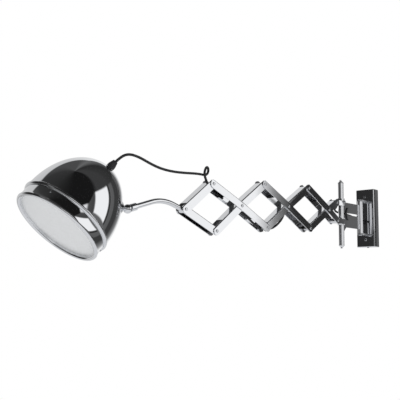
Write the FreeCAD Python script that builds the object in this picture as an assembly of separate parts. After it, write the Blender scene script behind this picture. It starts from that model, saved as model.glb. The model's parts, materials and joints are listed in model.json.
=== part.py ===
"""Accordion wall lamp: a chrome wall box, a swivelling bracket with a guide rod, a
scissor arm of nested channel links and a round shade on a ball joint.

Frame: the origin is the centre of the wall box's back face. +Y points into the wall,
+Z is up and the arm reaches out along -Y. All sizes are millimetres and degrees.
"""
import FreeCAD
import Part

import math
import os

# ---------------------------------------------------------------- clearances
RUNNING_GAP = 0.05      # radial play of a pin or shaft in its hole
SIDE_GAP = 0.3          # between faces that slide past each other
SEAT_GAP = 0.2          # between pieces that are screwed or clipped together

# ---------------------------------------------------------------- wall box
BOX_WIDTH = 52.0
BOX_HEIGHT = 154.0
BOX_DEPTH = 25.0
BOX_WALL = 1.5
BOX_CORNER = 2.0
BACK_PLATE_THICK = 2.0
WALL_HOLE_SPACING = 84.0
WALL_HOLE_RADIUS = 2.5
OUTLET_RADIUS = 8.0
COVER_SCREW_SPACING = 114.0
COVER_SCREW_RADIUS = 2.0
COVER_SCREW_HEAD_RADIUS = 3.6
COVER_SCREW_HEAD_HEIGHT = 1.6
STUD_RADIUS = 4.0
CORD_ENTRY_DROP = 10.0
BOTTOM_SCREW_RADIUS = 2.2
BOTTOM_SCREW_HEAD = 3.0

# ---------------------------------------------------------------- hinge
HINGE_STANDOFF = 27.0       # hinge axis in front of the box face
BARREL_RADIUS = 7.2
BARREL_HALF_HEIGHT = 42.0
EAR_THICK = 3.5
EAR_END_RADIUS = 9.0
HINGE_PIN_RADIUS = 3.0
HINGE_PIN_HEAD_RADIUS = 4.6
HINGE_PIN_HEAD_HEIGHT = 2.2
BRACKET_THICK = 3.0

# ---------------------------------------------------------------- swivel plate and rod
ROD_OFFSET = 98.0           # hinge axis to guide rod axis
ROD_RADIUS = 7.0
ROD_TOP = 78.0
ROD_BOTTOM = -77.0
ROD_CAP_RADIUS = 7.4
ROD_CAP_HEIGHT = 6.0
ROD_STUD_RADIUS = 2.8
ROD_STUD_HEIGHT = 3.6
PLATE_THICK = 3.0
PLATE_HALF_HEIGHT = 32.0
PLATE_TAIL_TOP = 50.0
PLATE_TAIL_BOTTOM = -64.0
PLATE_TAIL_REACH = 16.0
SLOT_HEIGHT = 5.0
SLOT_RISE = 3.0
SLOT_MARGIN = 4.0           # plate left standing at each end of the slot

# ---------------------------------------------------------------- collars
COLLAR_WALL = 2.2
COLLAR_HEIGHT = 18.0
UPPER_COLLAR_RISE = 4.0     # centre of the fixed collar above its pivot
PIVOT_OFFSET = 33.0         # rod axis to the collars' pivots
LUG_RADIUS = 6.5
SET_SCREW_RADIUS = 1.8

# ---------------------------------------------------------------- cord clip
CLIP_REACH = 21.5           # clip from the rod's axis
CLIP_BOW = 21.4             # radius of the clip's curved bar
CLIP_LENGTH = 32.0
CLIP_THICK = 2.4
CLIP_WALL = 1.6
CORD_BEND_SHARE = 0.45      # share of a run that a bend takes up

# ---------------------------------------------------------------- scissor arm
HALF_LINK = 100.0           # pivot to pivot along a link
WALL_HALF_LINK = 48.0       # short half of the last links, at the rod
LINK_ANGLE = 28.5           # links to the arm's axis as photographed
LINK_CRANK = 2.5            # bend of each full link at its middle pivot
ARM_RISE = 4.0              # height of the last middle pivot
LINK_HALF_WIDTH = 8.75
LINK_SHEET = 1.5
LINK_BEND = 2.0             # outside radius of the channel's folds
OUTER_WIDTH = 23.0          # across the outermost channels
LAST_UNIT = 3
WEB_CLEAR_UP = 31.0         # web left out above a crossing pivot
WEB_CLEAR_DOWN = 37.0       # and below it
WEB_CLEAR_FOOT = 30.0       # at a lower end, where the nested link leaves
WEB_CLEAR_HEAD = 10.0       # at an upper end
RIVET_RADIUS = 2.5
RIVET_HEAD_RADIUS = 3.4
RIVET_HEAD_HEIGHT = 1.3
SPACER_WALL = 2.0

# ---------------------------------------------------------------- gooseneck
TUBE_RADIUS = 5.0
TUBE_WALL = 1.0
KNUCKLE_RADIUS = 7.0
BALL_RADIUS = 8.5
BALL_OUT = 146.5            # ball centre beyond the tip pivot
BALL_DROP = 12.0            # and below it
TUBE_LIFT_BALL = 17.0       # slope of the tube at the ball
TUBE_LIFT_TIP = 15.0        # slope of the tube at the tip pivot
TUBE_BEND_RADIUS = 110.0
FERRULE_RADIUS = 7.2
FERRULE_LENGTH = 13.0
FERRULE_START = 7.0         # ferrule's mouth from the ball's centre

# ---------------------------------------------------------------- shade
SHADE_TILT = 50.0           # axis below the horizontal
SHADE_YAW = -13.5           # axis away from the arm's plane
SHADE_ROLL = 109.6          # side of the bowl that meets the ball
BAND_RADIUS = 83.2
LIP_PROUD = 1.8             # lip beyond the band
LIP_FACE = 8.0              # width of the lip round the glass
BEAD_PROUD = 3.8            # bead beyond the band
BOWL_PROUD = 1.4            # bowl's mouth beyond the band
BEZEL_DEPTH = 30.0
BEZEL_LIP_DEPTH = 7.0
BEZEL_BEAD_DEPTH = 6.5
BEZEL_WALL = 1.2
BOWL_LENGTH = 117.5
BOWL_WALL = 1.0
SKIRT_DEPTH = 14.0
GLASS_THICK = 4.0
SEAT_ANGLE = 40.2           # place of the ball's cup on the bowl's ellipse
CUP_RADIUS = 12.5
CUP_HEIGHT = 3.4
GRIP_ANGLE = 70.0           # place of the cord grip on the bowl's ellipse
GRIP_TURN = -80.0           # round the axis from the cup
CORD_RADIUS = 2.5
GRIP_RADIUS = 7.5
GRIP_HEIGHT = 15.0
GRIP_FOOT = 5.0             # straight foot of the grip
HOLDER_RADIUS = 20.0
HOLDER_LENGTH = 36.0
BULB_RADIUS = 27.0
BULB_NECK_RADIUS = 13.0
BULB_NECK_LENGTH = 14.0

# ---------------------------------------------------------------- worked out
X_AXIS = FreeCAD.Vector(1, 0, 0)
Y_AXIS = FreeCAD.Vector(0, 1, 0)
Z_AXIS = FreeCAD.Vector(0, 0, 1)
ORIGIN = FreeCAD.Vector(0, 0, 0)
FACE_Y = -BOX_DEPTH
HINGE_Y = FACE_Y - HINGE_STANDOFF
ROD_Y = HINGE_Y - ROD_OFFSET
PIVOT_Y = ROD_Y - PIVOT_OFFSET
INNER_WIDTH = OUTER_WIDTH - 2 * LINK_SHEET - 2 * SIDE_GAP
TIP_WIDTH = INNER_WIDTH - 2 * LINK_SHEET - 2 * SIDE_GAP
PIN_HOLE_RADIUS = RIVET_RADIUS + RUNNING_GAP
EAR_TOP = BARREL_HALF_HEIGHT + SIDE_GAP + EAR_THICK
LIP_RADIUS = BAND_RADIUS + LIP_PROUD
GLASS_OPENING = LIP_RADIUS - LIP_FACE
BEAD_RADIUS = BAND_RADIUS + BEAD_PROUD
BOWL_RADIUS = BAND_RADIUS + BOWL_PROUD

PARTS = {}


def keep(node, *solids):
    """Store one named piece, or a group of like pieces."""
    PARTS[node] = solids[0] if len(solids) == 1 else Part.makeCompound(list(solids))


def rod_along(axis, radius, length, centre):
    """Cylinder of a given length, centred on a point."""
    start = centre - axis * (length / 2)
    return Part.makeCylinder(radius, length, start, axis)


def box_around(size_x, size_y, size_z, centre):
    """Box centred on a point."""
    corner = centre - FreeCAD.Vector(size_x / 2, size_y / 2, size_z / 2)
    return Part.makeBox(size_x, size_y, size_z, corner)


def tube(axis, radius, bore, length, centre):
    return rod_along(axis, radius, length, centre).cut(rod_along(axis, bore, length + 2, centre))


def domed_head(axis, radius, height, seat):
    """Low round head standing on a seat point, with a softened edge."""
    head = Part.makeCylinder(radius, height, seat, axis)
    rim = [edge for edge in head.Edges if edge.Length > radius and on_far_side(edge, seat, axis, height)]
    return head.makeFillet(height * 0.6, rim)


def on_far_side(edge, seat, axis, height):
    return abs((edge.CenterOfMass - seat).dot(axis) - height) < height * 0.01


def revolve(points, axis_start=ORIGIN, axis=Z_AXIS):
    """Solid of revolution of a closed outline given as edges in the XZ plane."""
    return Part.Face(Part.Wire(points)).revolve(axis_start, axis, 360)


# ================================================================ pivots of the arm
def arm_pivots():
    """Pivot points (y, z) by name: T and B on the upper and lower corners, C at the
    crossings, numbered from the lamp end, and A at the tip."""
    rise = math.sin(math.radians(LINK_ANGLE))
    run = math.cos(math.radians(LINK_ANGLE))
    points = {
        "T4": (PIVOT_Y, ARM_RISE + WALL_HALF_LINK * rise),
        "B4": (PIVOT_Y, ARM_RISE - WALL_HALF_LINK * rise),
        "C3": (PIVOT_Y - WALL_HALF_LINK * run, ARM_RISE),
    }
    centre = points["C3"]
    for unit in (3, 2, 1):
        sag = math.radians(LINK_CRANK * (LAST_UNIT + 1 - unit))
        out = (-math.cos(sag), -math.sin(sag))
        up = (-math.sin(sag), math.cos(sag))
        middle = (centre[0] + HALF_LINK * run * out[0], centre[1] + HALF_LINK * run * out[1])
        lift = (HALF_LINK * rise * up[0], HALF_LINK * rise * up[1])
        points["T%d" % unit] = (middle[0] + lift[0], middle[1] + lift[1])
        points["B%d" % unit] = (middle[0] - lift[0], middle[1] - lift[1])
        centre = (middle[0] + HALF_LINK * run * out[0], middle[1] + HALF_LINK * run * out[1])
        points["C%d" % (unit - 1) if unit > 1 else "A"] = centre
    return points


PIVOTS = arm_pivots()


def at(name, x=0.0):
    """Pivot as a 3-D point."""
    return FreeCAD.Vector(x, *PIVOTS[name])


# ================================================================ links
def channel_half(start, end, width, web_side, web_from, web_to):
    """Half of a channel link from one pivot to the next: a folded sheet section with
    rounded ends. The web stands on the given side, between two distances."""
    length = (end - start).Length
    reach = LINK_HALF_WIDTH
    inside = width - 2 * LINK_SHEET
    fold = Part.makeBox(width, length + 2 * reach, 2 * reach, FreeCAD.Vector(-width / 2, -reach, -reach))
    fold = fold.makeFillet(LINK_BEND, long_edges(fold, reach, length))
    pocket = Part.makeBox(inside, length + 2 * reach, 2 * reach,
                          FreeCAD.Vector(-inside / 2, -reach, -reach - LINK_SHEET))
    pocket = pocket.makeFillet(LINK_BEND - LINK_SHEET, long_edges(pocket, reach - LINK_SHEET, length))
    outline = rod_along(X_AXIS, reach, width, ORIGIN)
    outline = outline.fuse(box_around(width, length, 2 * reach, FreeCAD.Vector(0, length / 2, 0)))
    outline = outline.fuse(rod_along(X_AXIS, reach, width, FreeCAD.Vector(0, length, 0)))
    half = fold.cut(pocket).common(outline.removeSplitter())
    for low, high in ((-2 * reach, web_from), (web_to, length + 2 * reach)):
        gap = Part.makeBox(inside, high - low, 2 * reach, FreeCAD.Vector(-inside / 2, low, 0))
        half = half.cut(gap)
    along = end - start
    slope = math.degrees(math.atan2(along.z, along.y))
    if web_side < 0:
        half = half.mirror(ORIGIN, Z_AXIS)
    half.rotate(ORIGIN, X_AXIS, slope)
    half.translate(start)
    return half


def long_edges(block, height, length):
    """The two long top edges of a block that lies along Y."""
    return [edge for edge in block.Edges
            if abs(edge.CenterOfMass.z - height) < LINK_SHEET / 10 and edge.Length > length]


def pierce(link, names, width):
    for name in names:
        link = link.cut(rod_along(X_AXIS, PIN_HOLE_RADIUS, width + 2, at(name)))
    return link


def outer_link(unit):
    """Link that falls towards the wall, outermost at its three pivots."""
    top, middle, foot = "T%d" % unit, "C%d" % unit, "B%d" % (unit + 1)
    upper_length = (at(top) - at(middle)).Length
    lower_length = (at(foot) - at(middle)).Length
    upper = channel_half(at(middle), at(top), OUTER_WIDTH, -1, WEB_CLEAR_UP, upper_length - WEB_CLEAR_HEAD)
    lower_end = max(lower_length - WEB_CLEAR_FOOT, WEB_CLEAR_DOWN)
    lower = channel_half(at(middle), at(foot), OUTER_WIDTH, 1, WEB_CLEAR_DOWN, lower_end)
    return pierce(upper.fuse(lower).removeSplitter(), (top, middle, foot), OUTER_WIDTH)


def inner_link(unit):
    """Link that rises towards the wall, nested inside the outer ones."""
    foot, middle, top = "B%d" % unit, "C%d" % unit, "T%d" % (unit + 1)
    foot_clear = WEB_CLEAR_FOOT if unit == 1 else WEB_CLEAR_HEAD
    upper_length = (at(top) - at(middle)).Length
    lower_length = (at(foot) - at(middle)).Length
    upper = channel_half(at(middle), at(top), INNER_WIDTH, 1, -LINK_HALF_WIDTH, upper_length - WEB_CLEAR_HEAD)
    lower = channel_half(at(middle), at(foot), INNER_WIDTH, -1, -LINK_HALF_WIDTH, lower_length - foot_clear)
    return pierce(upper.fuse(lower).removeSplitter(), (foot, middle, top), INNER_WIDTH)


def rivet(name, width):
    """Pin through a pivot with a low head against each outer face."""
    shank = rod_along(X_AXIS, RIVET_RADIUS, width, at(name))
    near = domed_head(X_AXIS, RIVET_HEAD_RADIUS, RIVET_HEAD_HEIGHT, at(name, width / 2))
    far = domed_head(-X_AXIS, RIVET_HEAD_RADIUS, RIVET_HEAD_HEIGHT, at(name, -width / 2))
    return shank.fuse([near, far])


def spacer(name, width):
    """Tube that keeps the flanges of the innermost channel apart."""
    return tube(X_AXIS, PIN_HOLE_RADIUS + SPACER_WALL, PIN_HOLE_RADIUS, width - 2 * SIDE_GAP, at(name))


def build_arm():
    inner_room = INNER_WIDTH - 2 * LINK_SHEET
    outer_room = OUTER_WIDTH - 2 * LINK_SHEET
    for unit in (1, 2, 3):
        corners = ("T%d" % unit, "C%d" % unit, "B%d" % (unit + 1))
        keep("outer_link_%d" % unit, outer_link(unit))
        keep("inner_link_%d" % unit, inner_link(unit))
        keep("rivets_%d" % unit, *[rivet(name, OUTER_WIDTH) for name in corners])
        keep("spacers_%d" % unit, *[spacer(name, inner_room) for name in corners if name != "B4"])
    keep("tip_link_upper", pierce(
        channel_half(at("A"), at("T1"), INNER_WIDTH, 1, WEB_CLEAR_HEAD, HALF_LINK - WEB_CLEAR_HEAD),
        ("A", "T1"), INNER_WIDTH))
    keep("tip_link_lower", pierce(
        channel_half(at("A"), at("B1"), TIP_WIDTH, 1, WEB_CLEAR_HEAD, HALF_LINK - WEB_CLEAR_HEAD),
        ("A", "B1"), TIP_WIDTH))
    keep("tip_rivet", rivet("A", INNER_WIDTH))
    keep("lower_tip_rivet", rivet("B1", INNER_WIDTH))
    keep("lower_tip_spacer", spacer("B1", TIP_WIDTH - 2 * LINK_SHEET))
    keep("upper_collar_pin", rivet("T4", INNER_WIDTH))
    return inner_room, outer_room


# ================================================================ wall box
def build_wall_box():
    shell = box_around(BOX_WIDTH, BOX_DEPTH, BOX_HEIGHT, FreeCAD.Vector(0, -BOX_DEPTH / 2, 0))
    rounded = [edge for edge in shell.Edges if edge.CenterOfMass.y < -BOX_WALL]
    shell = shell.makeFillet(BOX_CORNER, rounded)
    hollow = box_around(BOX_WIDTH - 2 * BOX_WALL, BOX_DEPTH, BOX_HEIGHT - 2 * BOX_WALL,
                        FreeCAD.Vector(0, BOX_WALL - BOX_DEPTH / 2, 0))
    cover = shell.cut(hollow)
    screw_z = COVER_SCREW_SPACING / 2
    for side in (-1, 1):
        hole = FreeCAD.Vector(0, FACE_Y, side * screw_z)
        cover = cover.cut(rod_along(Y_AXIS, COVER_SCREW_RADIUS + SEAT_GAP, 4 * BOX_WALL, hole))
        ear_z = side * (BARREL_HALF_HEIGHT + SIDE_GAP + EAR_THICK / 2)
        window = FreeCAD.Vector(0, FACE_Y, ear_z)
        cover = cover.cut(box_around(2 * EAR_END_RADIUS + 2 * SEAT_GAP, 4 * BOX_WALL,
                                     EAR_THICK + 2 * SEAT_GAP, window))
    entry = FreeCAD.Vector(0, FACE_Y, -CORD_ENTRY_DROP)
    grommet_seat = CORD_RADIUS + 2 * BOX_WALL
    cover = cover.cut(rod_along(Y_AXIS, grommet_seat, 4 * BOX_WALL, entry))
    bottom = FreeCAD.Vector(0, -BOX_DEPTH / 2, -BOX_HEIGHT / 2)
    cover = cover.cut(rod_along(Z_AXIS, BOTTOM_SCREW_RADIUS + SEAT_GAP, 4 * BOX_WALL, bottom))
    keep("box_cover", cover)

    plate_width = BOX_WIDTH - 2 * BOX_WALL - 2 * SEAT_GAP
    plate_height = BOX_HEIGHT - 2 * BOX_WALL - 2 * SEAT_GAP
    plate = box_around(plate_width, BACK_PLATE_THICK, plate_height, FreeCAD.Vector(0, -BACK_PLATE_THICK / 2, 0))
    for side in (-1, 1):
        hole = FreeCAD.Vector(0, 0, side * WALL_HOLE_SPACING / 2)
        plate = plate.cut(rod_along(Y_AXIS, WALL_HOLE_RADIUS, 4 * BACK_PLATE_THICK, hole))
    plate = plate.cut(rod_along(Y_AXIS, OUTLET_RADIUS, 4 * BACK_PLATE_THICK, ORIGIN))
    keep("back_plate", plate)

    stud_length = BOX_DEPTH - BACK_PLATE_THICK - BOX_WALL
    studs, screws = [], []
    for side in (-1, 1):
        centre = FreeCAD.Vector(0, -BACK_PLATE_THICK - stud_length / 2, side * screw_z)
        studs.append(tube(Y_AXIS, STUD_RADIUS, COVER_SCREW_RADIUS + RUNNING_GAP, stud_length, centre))
        face = FreeCAD.Vector(0, FACE_Y, side * screw_z)
        shank = rod_along(Y_AXIS, COVER_SCREW_RADIUS, stud_length, face + Y_AXIS * (stud_length / 2))
        screws.append(shank.fuse(domed_head(-Y_AXIS, COVER_SCREW_HEAD_RADIUS, COVER_SCREW_HEAD_HEIGHT, face)))
    keep("cover_studs", *studs)
    keep("cover_screws", *screws)

    grommet = tube(Y_AXIS, grommet_seat - SEAT_GAP / 2, CORD_RADIUS + SIDE_GAP, BOX_WALL, entry + Y_AXIS * (BOX_WALL / 2))
    flange = tube(Y_AXIS, grommet_seat + BOX_WALL, CORD_RADIUS + SIDE_GAP, BOX_WALL, entry - Y_AXIS * (BOX_WALL / 2))
    keep("cord_grommet", grommet.fuse(flange).removeSplitter())

    tail = rod_along(Z_AXIS, BOTTOM_SCREW_RADIUS, 3 * BOX_WALL, bottom + Z_AXIS * (1.5 * BOX_WALL))
    keep("bottom_screw", tail.fuse(domed_head(-Z_AXIS, BOTTOM_SCREW_HEAD, BOX_WALL, bottom)))

    block_depth = BOX_DEPTH / 3
    block_z = CORD_ENTRY_DROP + OUTLET_RADIUS + BOX_WIDTH / 6
    block = box_around(BOX_WIDTH / 2, block_depth, BOX_WIDTH / 5,
                       FreeCAD.Vector(0, -BACK_PLATE_THICK - block_depth / 2, block_z))
    for way in (-1, 0, 1):
        mouth = FreeCAD.Vector(way * BOX_WIDTH / 6, -BACK_PLATE_THICK - block_depth / 2, block_z)
        block = block.cut(rod_along(Z_AXIS, CORD_RADIUS / 2, BOX_WIDTH, mouth))
    keep("terminal_block", block)


# ================================================================ hinge bracket
def build_hinge():
    """U bracket behind the cover whose two ears pass through the cover's windows."""
    back = FACE_Y + BOX_WALL + SEAT_GAP
    strip_height = 2 * EAR_TOP
    strip = box_around(2 * EAR_END_RADIUS, BRACKET_THICK, strip_height,
                       FreeCAD.Vector(0, back + BRACKET_THICK / 2, 0))
    bracket = strip
    for side in (-1, 1):
        middle = side * (EAR_TOP - EAR_THICK / 2)
        reach = back + BRACKET_THICK - HINGE_Y
        arm = box_around(2 * EAR_END_RADIUS, reach, EAR_THICK, FreeCAD.Vector(0, HINGE_Y + reach / 2, middle))
        end = rod_along(Z_AXIS, EAR_END_RADIUS, EAR_THICK, FreeCAD.Vector(0, HINGE_Y, middle))
        bracket = bracket.fuse(arm.fuse(end))
    bracket = bracket.removeSplitter()
    bracket = bracket.cut(rod_along(Z_AXIS, HINGE_PIN_RADIUS + RUNNING_GAP, 3 * EAR_TOP,
                                    FreeCAD.Vector(0, HINGE_Y, 0)))
    entry = FreeCAD.Vector(0, back, -CORD_ENTRY_DROP)
    bracket = bracket.cut(rod_along(Y_AXIS, CORD_RADIUS + 3 * BOX_WALL, 4 * BRACKET_THICK, entry))
    post_z = strip_height / 2 - EAR_END_RADIUS
    post_length = -BACK_PLATE_THICK - back - BRACKET_THICK
    posts = []
    for side in (-1, 1):
        hole = FreeCAD.Vector(0, back, side * post_z)
        bracket = bracket.cut(rod_along(Y_AXIS, COVER_SCREW_RADIUS + RUNNING_GAP, 4 * BRACKET_THICK, hole))
        centre = FreeCAD.Vector(0, -BACK_PLATE_THICK - post_length / 2, side * post_z)
        spigot = rod_along(Y_AXIS, COVER_SCREW_RADIUS, BRACKET_THICK, hole + Y_AXIS * (BRACKET_THICK / 2))
        posts.append(rod_along(Y_AXIS, STUD_RADIUS, post_length, centre).fuse(spigot))
    keep("hinge_bracket", bracket)
    keep("bracket_posts", *posts)

    pin_bottom = FreeCAD.Vector(0, HINGE_Y, -EAR_TOP)
    pin_top = FreeCAD.Vector(0, HINGE_Y, EAR_TOP)
    pin = rod_along(Z_AXIS, HINGE_PIN_RADIUS, 2 * EAR_TOP, FreeCAD.Vector(0, HINGE_Y, 0))
    pin = pin.fuse([domed_head(Z_AXIS, HINGE_PIN_HEAD_RADIUS, HINGE_PIN_HEAD_HEIGHT, pin_top),
                    domed_head(-Z_AXIS, HINGE_PIN_HEAD_RADIUS, HINGE_PIN_HEAD_HEIGHT, pin_bottom)])
    keep("hinge_pin", pin)


# ================================================================ swivel frame
def swivel_plate():
    """Fish-tailed sheet between the barrel and the rod, cut to both round surfaces."""
    near = HINGE_Y
    far = ROD_Y
    tail = far + ROD_RADIUS + PLATE_TAIL_REACH
    corners = [
        FreeCAD.Vector(0, near, PLATE_HALF_HEIGHT),
        FreeCAD.Vector(0, tail, PLATE_HALF_HEIGHT),
        FreeCAD.Vector(0, far, PLATE_TAIL_TOP),
        FreeCAD.Vector(0, far, PLATE_TAIL_BOTTOM),
        FreeCAD.Vector(0, tail, -PLATE_HALF_HEIGHT),
        FreeCAD.Vector(0, near, -PLATE_HALF_HEIGHT),
    ]
    hollow = ROD_RADIUS / 2
    top_curve = Part.Arc(corners[1], (corners[1] + corners[2]) / 2 + FreeCAD.Vector(0, -hollow / 2, -hollow), corners[2])
    low_curve = Part.Arc(corners[3], (corners[3] + corners[4]) / 2 + FreeCAD.Vector(0, -hollow / 2, hollow), corners[4])
    edges = [
        Part.LineSegment(corners[0], corners[1]).toShape(),
        top_curve.toShape(),
        Part.LineSegment(corners[2], corners[3]).toShape(),
        low_curve.toShape(),
        Part.LineSegment(corners[4], corners[5]).toShape(),
        Part.LineSegment(corners[5], corners[0]).toShape(),
    ]
    plate = Part.Face(Part.Wire(edges)).extrude(X_AXIS * PLATE_THICK)
    plate.translate(X_AXIS * (-PLATE_THICK / 2))
    slot_from = ROD_Y + ROD_RADIUS + SLOT_MARGIN
    slot_to = HINGE_Y - BARREL_RADIUS - 2 * SLOT_MARGIN
    slot_length = slot_to - slot_from - SLOT_HEIGHT
    slot_centre = FreeCAD.Vector(0, (slot_from + slot_to) / 2, SLOT_RISE)
    slot = box_around(2 * PLATE_THICK, slot_length, SLOT_HEIGHT, slot_centre)
    for side in (-1, 1):
        slot = slot.fuse(rod_along(X_AXIS, SLOT_HEIGHT / 2, 2 * PLATE_THICK,
                                   slot_centre + Y_AXIS * (side * slot_length / 2)))
    plate = plate.cut(slot.removeSplitter())
    plate = plate.cut(rod_along(Z_AXIS, BARREL_RADIUS, 2 * BARREL_HALF_HEIGHT, FreeCAD.Vector(0, HINGE_Y, 0)))
    return plate.cut(rod_along(Z_AXIS, ROD_RADIUS, 4 * PLATE_TAIL_TOP, FreeCAD.Vector(0, ROD_Y, 0)))


def collar(centre_z, pivot_z, lug_width):
    """Saddle round the rod, slotted on the wall side for the plate, with a lug that
    carries a pivot of the arm."""
    outside = ROD_RADIUS + RUNNING_GAP + COLLAR_WALL
    centre = FreeCAD.Vector(0, ROD_Y, centre_z)
    pivot = FreeCAD.Vector(0, PIVOT_Y, pivot_z)
    body = rod_along(Z_AXIS, outside, COLLAR_HEIGHT, centre)
    neck = box_around(lug_width, PIVOT_OFFSET, 2 * LUG_RADIUS, (pivot + FreeCAD.Vector(0, ROD_Y, pivot_z)) / 2)
    body = body.fuse([neck, rod_along(X_AXIS, LUG_RADIUS, lug_width, pivot)]).removeSplitter()
    body = body.cut(rod_along(Z_AXIS, ROD_RADIUS + RUNNING_GAP, 2 * COLLAR_HEIGHT, centre))
    body = body.cut(rod_along(X_AXIS, PIN_HOLE_RADIUS, 2 * lug_width, pivot))
    gap = PLATE_THICK + 2 * SIDE_GAP
    return body.cut(box_around(gap, 2 * outside, 2 * COLLAR_HEIGHT, centre + Y_AXIS * outside))


def rod_cap(side):
    """Turned end of the rod: a shouldered cap and a small stud."""
    end = ROD_TOP if side > 0 else ROD_BOTTOM
    base = FreeCAD.Vector(0, ROD_Y, end)
    way = Z_AXIS * side
    cap = Part.makeCone(ROD_CAP_RADIUS, ROD_STUD_RADIUS * 1.4, ROD_CAP_HEIGHT * 0.6,
                        base + way * (ROD_CAP_HEIGHT * 0.4), way)
    cap = cap.fuse(Part.makeCylinder(ROD_CAP_RADIUS, ROD_CAP_HEIGHT * 0.4, base, way))
    return cap.fuse(Part.makeCylinder(ROD_STUD_RADIUS, ROD_CAP_HEIGHT + ROD_STUD_HEIGHT, base, way))


def build_swivel():
    hinge = FreeCAD.Vector(0, HINGE_Y, 0)
    keep("hinge_barrel", tube(Z_AXIS, BARREL_RADIUS, HINGE_PIN_RADIUS + RUNNING_GAP, 2 * BARREL_HALF_HEIGHT, hinge))
    keep("swivel_plate", swivel_plate())
    middle = FreeCAD.Vector(0, ROD_Y, (ROD_TOP + ROD_BOTTOM) / 2)
    keep("guide_rod", rod_along(Z_AXIS, ROD_RADIUS, ROD_TOP - ROD_BOTTOM, middle))
    keep("rod_cap_top", rod_cap(1))
    keep("rod_cap_bottom", rod_cap(-1))
    upper_pivot = PIVOTS["T4"][1]
    lower_pivot = PIVOTS["B4"][1]
    inner_room = INNER_WIDTH - 2 * LINK_SHEET
    outer_room = OUTER_WIDTH - 2 * LINK_SHEET
    keep("upper_collar", collar(upper_pivot + UPPER_COLLAR_RISE, upper_pivot, inner_room - 2 * SIDE_GAP))
    keep("lower_collar", collar(lower_pivot, lower_pivot, outer_room - 2 * SIDE_GAP))
    seat = FreeCAD.Vector(ROD_RADIUS, ROD_Y, upper_pivot + UPPER_COLLAR_RISE)
    screw = Part.makeCylinder(SET_SCREW_RADIUS, COLLAR_WALL + SEAT_GAP, seat, X_AXIS)
    knob = Part.makeCylinder(2 * SET_SCREW_RADIUS, COLLAR_WALL, seat + X_AXIS * (COLLAR_WALL + SEAT_GAP), X_AXIS)
    keep("collar_screw", screw.fuse(knob))
    PARTS["upper_collar"] = PARTS["upper_collar"].cut(
        rod_along(X_AXIS, SET_SCREW_RADIUS + RUNNING_GAP, 2 * ROD_RADIUS, seat + X_AXIS * ROD_RADIUS))
    mouth = wall_cord_route()[0]
    PARTS["upper_collar"] = PARTS["upper_collar"].cut(
        Part.makeCylinder(CORD_RADIUS + RUNNING_GAP, 2 * LUG_RADIUS, mouth, -Z_AXIS))
    keep("cord_clip", cord_clip())


def cord_clip():
    """Moulded clip in the plate's slot: a curved bar on one side of the plate and a
    ring round the cord on the other."""
    near = PLATE_THICK / 2 + SEAT_GAP
    clip_y = ROD_Y + CLIP_REACH
    bow = FreeCAD.Vector(near + CLIP_THICK / 2, clip_y + CLIP_BOW, SLOT_RISE)
    bar = tube(X_AXIS, CLIP_BOW + CLIP_THICK / 2, CLIP_BOW - CLIP_THICK / 2, CLIP_THICK, bow)
    keep_side = box_around(2 * CLIP_THICK, CLIP_BOW, CLIP_LENGTH, bow - Y_AXIS * CLIP_BOW)
    bar = bar.common(keep_side)
    ring_centre = FreeCAD.Vector(-clip_ring_offset(), clip_y, SLOT_RISE)
    ring_radius = CORD_RADIUS + SEAT_GAP + CLIP_WALL
    ring = tube(Y_AXIS, ring_radius, CORD_RADIUS + RUNNING_GAP, CLIP_THICK, ring_centre)
    stem_from = -near - CLIP_WALL / 2
    stem = Part.makeBox(near - stem_from + CLIP_THICK / 2, CLIP_THICK, SLOT_HEIGHT - 2 * SIDE_GAP,
                        FreeCAD.Vector(stem_from, clip_y - CLIP_THICK / 2, SLOT_RISE - SLOT_HEIGHT / 2 + SIDE_GAP))
    stem = stem.cut(rod_along(Y_AXIS, CORD_RADIUS + RUNNING_GAP, 2 * CLIP_THICK, ring_centre))
    return bar.fuse([ring, stem]).removeSplitter()


def clip_ring_offset():
    """Distance of the cord's line from the plate's middle."""
    return PLATE_THICK / 2 + 2 * SEAT_GAP + CLIP_WALL + CORD_RADIUS


# ================================================================ cord
def cord_solid(name, points):
    """Round cord along straight runs joined by tangent arcs."""
    start = points[0]
    edges = []
    bends = []
    for before, corner, after in zip(points, points[1:], points[2:]):
        into = corner - before
        out = after - corner
        turn = into.getAngle(out)
        trim = CORD_BEND_SHARE * min(into.Length, out.Length)
        radius = trim / math.tan(turn / 2)
        into.normalize()
        out.normalize()
        first = corner - into * trim
        last = corner + out * trim
        inward = (out - into).normalize()
        middle = corner + inward * (radius / math.cos(turn / 2) - radius)
        edges.append(line(start, first))
        edges.append(Part.Arc(first, middle, last).toShape())
        bends.append(radius)
        start = last
    edges.append(line(start, points[-1]))
    path = Part.Wire(edges)
    ring = Part.Wire([Part.Circle(points[0], points[1] - points[0], CORD_RADIUS).toShape()])
    cord = path.makePipeShell([ring], True, False)
    section = math.pi * CORD_RADIUS * CORD_RADIUS
    tightest = min(bends) if bends else 0
    print("%s: length %.1f, volume %.0f of %.0f, tightest bend %.1f"
          % (name, path.Length, cord.Volume, section * path.Length, tightest))
    return cord


def beside_link(start, end, steps):
    """Points beside a link: distance from its start pivot, and height over its middle."""
    along = (end - start).normalize()
    over = X_AXIS.cross(along)
    return [start + along * far + over * high for far, high in steps]


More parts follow.
